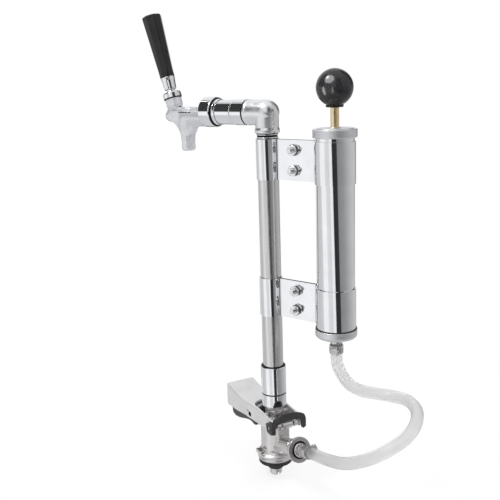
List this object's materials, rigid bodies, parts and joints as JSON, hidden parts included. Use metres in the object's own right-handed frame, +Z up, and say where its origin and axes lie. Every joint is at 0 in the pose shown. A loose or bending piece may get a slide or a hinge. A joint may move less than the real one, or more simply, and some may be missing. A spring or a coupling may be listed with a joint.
{
  "type": "beer tap tower",
  "caption": "Hand-pumped beer tap tower: lever-operated keg coupler, chrome tube with elbow and pull-handle faucet, and an air pump on bracket clamps with its hose to the coupler.",
  "frame": {"origin": "on the axis of the tower tube, in the plane of the underside of the coupler's keg seal, where it presses on the keg valve", "axes": "+Z up along the tower tube, +X from the tube towards the pump, -X towards the faucet's spout, +Y to the back, away from the bolts' nuts"},
  "size_m": [0.3542, 0.1169, 0.5098],
  "materials": {
    "bright_chrome": "polished",
    "satin_nickel": "satin nickel plate",
    "satin_aluminium": "satin",
    "plain_steel": "plain",
    "bright_brass": "polished",
    "black_plastic": "gloss",
    "black_moulding": "semi-matt",
    "black_rubber": "matt",
    "grey_washer": "matt",
    "white_nylon": "satin",
    "clear_hose": "clear, wet gloss"
  },
  "bodies": {
    "coupler": {"coupler_body": "satin_nickel", "keg_seal": "black_rubber", "gas_inlet_fitting": "satin_nickel", "inlet_washer": "grey_washer", "inlet_tailpiece": "satin_nickel", "inlet_check_valve": "black_rubber", "hose_clamp_lower": "plain_steel", "lever_pivot_pin": "plain_steel", "air_hose": "clear_hose"},
    "tower": {"probe": "bright_chrome", "probe_upper_seal": "black_rubber", "probe_lower_seal": "black_rubber", "probe_check_ball": "plain_steel", "coupling_nut": "bright_chrome", "nut_washer": "grey_washer", "tube_socket": "bright_chrome", "tower_tube": "bright_chrome", "elbow_nipple": "bright_chrome", "elbow": "bright_chrome", "shank_collar": "bright_chrome", "faucet_shank": "bright_chrome", "faucet_coupling_nut": "bright_chrome", "shank_washer": "grey_washer", "faucet_body": "bright_chrome", "faucet_bonnet": "bright_chrome", "lever_friction_ring": "white_nylon", "pump_barrel": "bright_chrome", "pump_top_cap": "satin_aluminium", "pump_bottom_cap": "satin_aluminium", "bottom_gasket": "black_rubber", "outlet_barb": "satin_nickel", "hose_clamp_upper": "plain_steel", "pump_check_valve": "black_rubber", "upper_bracket_back": "bright_chrome", "upper_bracket_front": "bright_chrome", "lower_bracket_back": "bright_chrome", "lower_bracket_front": "bright_chrome", "upper_bolt_1": "plain_steel", "upper_bolt_2": "plain_steel", "lower_bolt_1": "plain_steel", "lower_bolt_2": "plain_steel", "upper_nut_1": "plain_steel", "upper_nut_2": "plain_steel", "lower_nut_1": "plain_steel", "lower_nut_2": "plain_steel"},
    "lever": {"coupler_lever": "satin_nickel", "hinge_clip": "black_moulding", "trigger_pin": "plain_steel", "trigger_spring": "plain_steel"},
    "trigger": {"lever_trigger": "black_moulding"},
    "faucet_handle": {"faucet_lever": "bright_chrome", "handle_ferrule": "bright_chrome", "tap_handle": "black_plastic"},
    "valve_shaft": {"faucet_shaft": "plain_steel", "shaft_washer": "black_rubber"},
    "pump_plunger": {"pump_rod": "bright_brass", "knob_collar": "black_plastic", "ball_knob": "black_plastic", "piston": "white_nylon", "piston_cup": "black_rubber"}
  },
  "joints": [
    {"name": "tower_slide", "type": "slide", "parent": "coupler", "child": "tower", "axis": [0, 0, 1], "range_m": [0, 0.012], "deforming": ["air_hose"]},
    {"name": "lever_hinge", "type": "hinge", "parent": "coupler", "child": "lever", "pos_m": [0.02284, -0.01017, 0.0537], "axis": [0.4067, 0.9135, 0], "range_deg": [0, 30]},
    {"name": "trigger_hinge", "type": "hinge", "parent": "lever", "child": "trigger", "pos_m": [-0.02604, 0.01159, 0.0527], "axis": [0.4067, 0.9135, 0], "range_deg": [0, 8], "stiffness_Nm_per_rad": 0.12, "springref_deg": -14.32},
    {"name": "faucet_lever_hinge", "type": "hinge", "parent": "tower", "child": "faucet_handle", "pos_m": [-0.13074, 0, 0.40269], "axis": [0, -1, 0], "range_deg": [0, 25]},
    {"name": "faucet_shaft_slide", "type": "slide", "parent": "tower", "child": "valve_shaft", "axis": [1, 0, 0], "range_m": [0, 0.0066]},
    {"name": "pump_rod_slide", "type": "slide", "parent": "tower", "child": "pump_plunger", "axis": [0, 0, 1], "range_m": [0, 0.15]}
  ],
  "couplings": [
    {"joint": "lever_hinge", "follows": "tower_slide", "rad_per_m": 43.4},
    {"joint": "faucet_shaft_slide", "follows": "faucet_lever_hinge", "m_per_rad": 0.014921}
  ]
}
